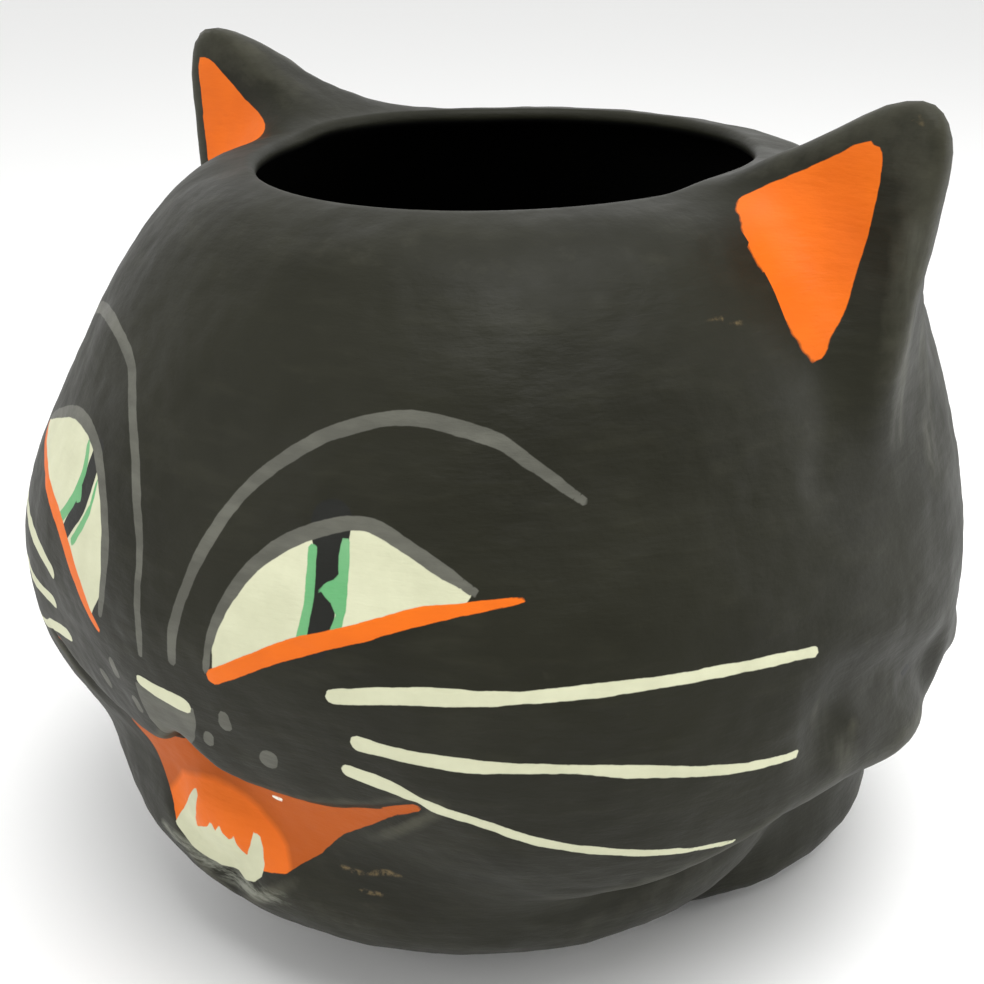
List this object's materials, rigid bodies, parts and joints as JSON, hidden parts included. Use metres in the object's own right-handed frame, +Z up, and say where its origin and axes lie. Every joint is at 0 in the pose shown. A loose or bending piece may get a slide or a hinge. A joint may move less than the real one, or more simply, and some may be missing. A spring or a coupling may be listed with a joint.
{
  "type": "papier-mache cat head container",
  "caption": "Hollow papier-mache cat head with two pointed ears, a carved grinning mouth and an open crown, standing on a rounded oval foot.",
  "frame": {"origin": "middle of the flat underside, below the middle of the opening", "axes": "+Z up through the opening, -Y towards the face, +X towards the cat's left ear"},
  "size_m": [0.2672, 0.2733, 0.2347],
  "materials": {
    "painted_papier_mache": "matte olive-black paint over papier-mache, with a painted face in orange, cream, green and gray"
  },
  "bodies": {
    "root": {"cat_head": "painted_papier_mache"}
  },
  "joints": []
}
